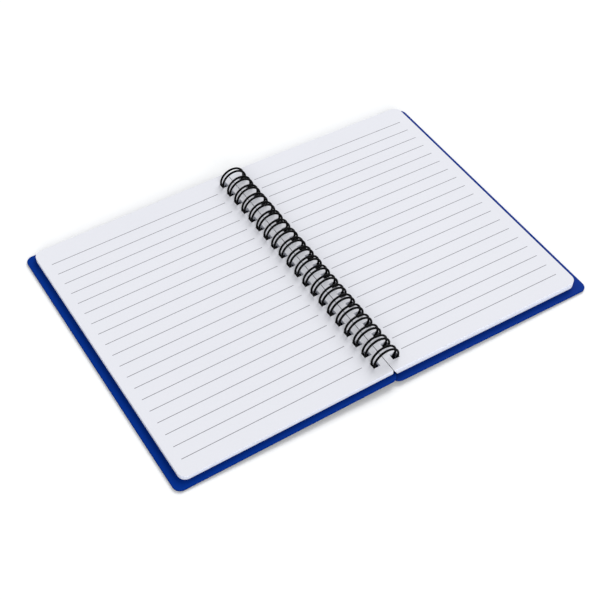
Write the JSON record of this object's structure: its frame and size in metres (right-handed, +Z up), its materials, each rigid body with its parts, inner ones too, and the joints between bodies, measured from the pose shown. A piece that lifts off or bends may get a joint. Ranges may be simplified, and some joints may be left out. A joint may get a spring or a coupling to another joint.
{
  "type": "spiral notebook",
  "caption": "Wire-bound notebook lying open, with rounded board covers, ruled leaves and a row of twin wire loops down the spine; the front half swings over to close it.",
  "frame": {"origin": "on the surface it lies on, under the middle of the open notebook, at the binding", "axes": "+Z up; +X across the open covers, from the front cover to the back cover; +Y along the binding, towards the head of the pages"},
  "size_m": [0.2646, 0.1844, 0.0167],
  "materials": {
    "cover_board": "royal blue, smooth and matt, with softly rounded edges",
    "ruled_paper": "white writing paper with thin grey ruled lines",
    "binding_wire": "black coated steel wire, glossy"
  },
  "bodies": {
    "back_half": {"wire_binding": "binding_wire", "right_pages": "ruled_paper", "back_cover": "cover_board"},
    "front_half": {"front_cover": "cover_board", "left_pages": "ruled_paper"}
  },
  "joints": [
    {"name": "front_cover_hinge", "type": "hinge", "parent": "back_half", "child": "front_half", "pos_m": [0, 0, 0.00835], "axis": [0, 1, 0], "range_deg": [0, 183]}
  ]
}
